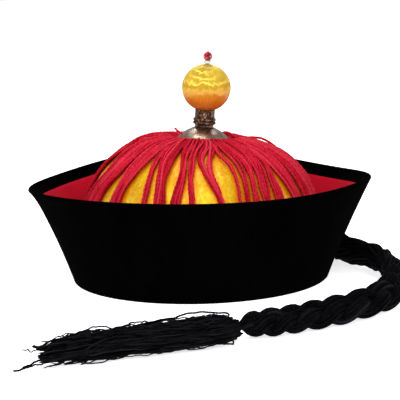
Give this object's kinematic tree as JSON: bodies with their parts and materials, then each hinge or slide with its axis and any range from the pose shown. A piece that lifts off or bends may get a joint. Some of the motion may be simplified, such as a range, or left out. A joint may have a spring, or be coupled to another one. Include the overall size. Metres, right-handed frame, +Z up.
{
  "type": "mandarin hat",
  "caption": "Round court hat with an upturned velvet brim, a satin crown under a fringe of yarn, a ball finial and a plaited braid with a tassel.",
  "frame": {"origin": "middle of the bottom opening, on the surface that the hat rests on", "axes": "+Z up through the crown, -Y the front of the hat, +X the wearer's left, where the braid comes round"},
  "size_m": [0.2784, 0.3794, 0.1702],
  "materials": {
    "velvet": "black velvet, deep matt pile",
    "felt": "matt red felt",
    "satin": "golden yellow satin with a soft sheen",
    "red_yarn": "matt red twisted yarn",
    "silver": "plain grey white metal, satin",
    "bronze": "dark bronze, engraved",
    "silk": "glossy yellow silk thread, orange below",
    "clear_glass": "clear glass",
    "red_glass": "bright red, faceted",
    "black_yarn": "matt black yarn"
  },
  "bodies": {
    "root": {"brim": "velvet", "brim_lining": "felt", "crown": "satin", "fringe": "red_yarn", "finial_cap": "silver", "finial_tube": "bronze", "finial_ball": "silk", "clear_bead": "clear_glass", "red_bead": "red_glass", "finial_pin": "bronze", "braid": "black_yarn", "braid_tie": "black_yarn", "tassel": "black_yarn"}
  },
  "joints": []
}
